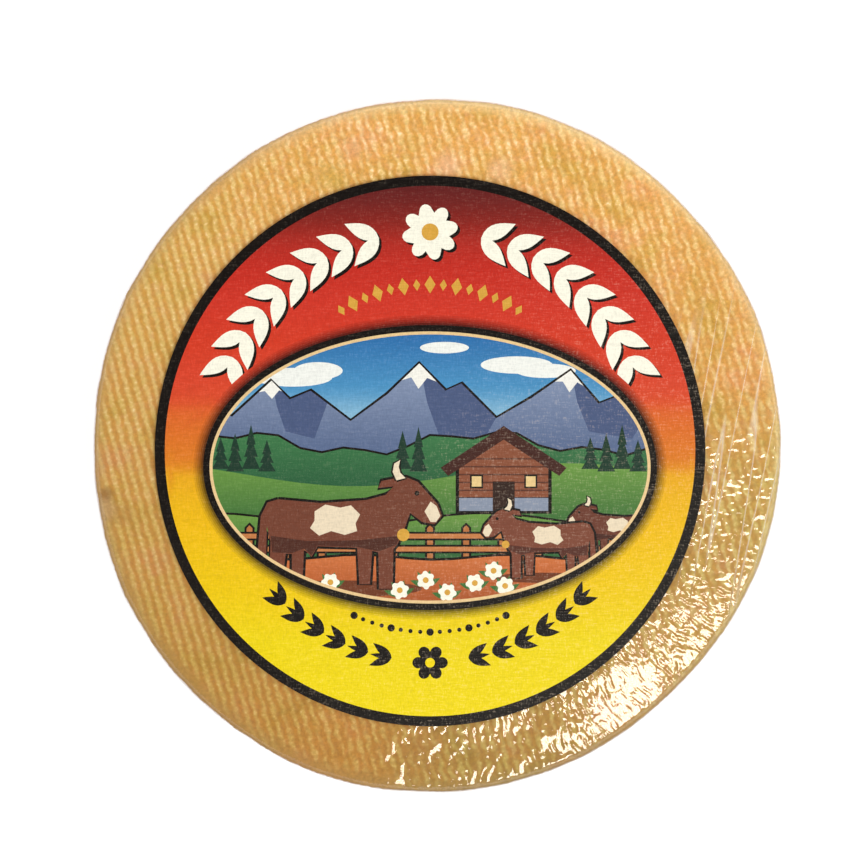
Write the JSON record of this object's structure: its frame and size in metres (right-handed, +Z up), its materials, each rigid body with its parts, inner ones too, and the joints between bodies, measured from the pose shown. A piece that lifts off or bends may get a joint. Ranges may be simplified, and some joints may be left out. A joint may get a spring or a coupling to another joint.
{
  "type": "tete de moine cheese",
  "caption": "Small drum-shaped wheel of washed-rind hard cheese, cloth-ribbed on both faces, sealed in clear film with a round paper label on top.",
  "frame": {"origin": "under the middle of the wheel, on the surface it stands on", "axes": "+Z up along the wheel's axis, towards the label; +Y towards the top of the label's print; +X to the print's right"},
  "size_m": [0.114, 0.1148, 0.0806],
  "materials": {
    "rind": "amber washed cheese rind under tight clear shrink film, glossy with crinkle highlights",
    "label_paper": "linen-embossed semi-gloss printed paper, red to yellow with a black ring"
  },
  "bodies": {
    "root": {"wrapped_cheese": "rind", "label": "label_paper"}
  },
  "joints": []
}
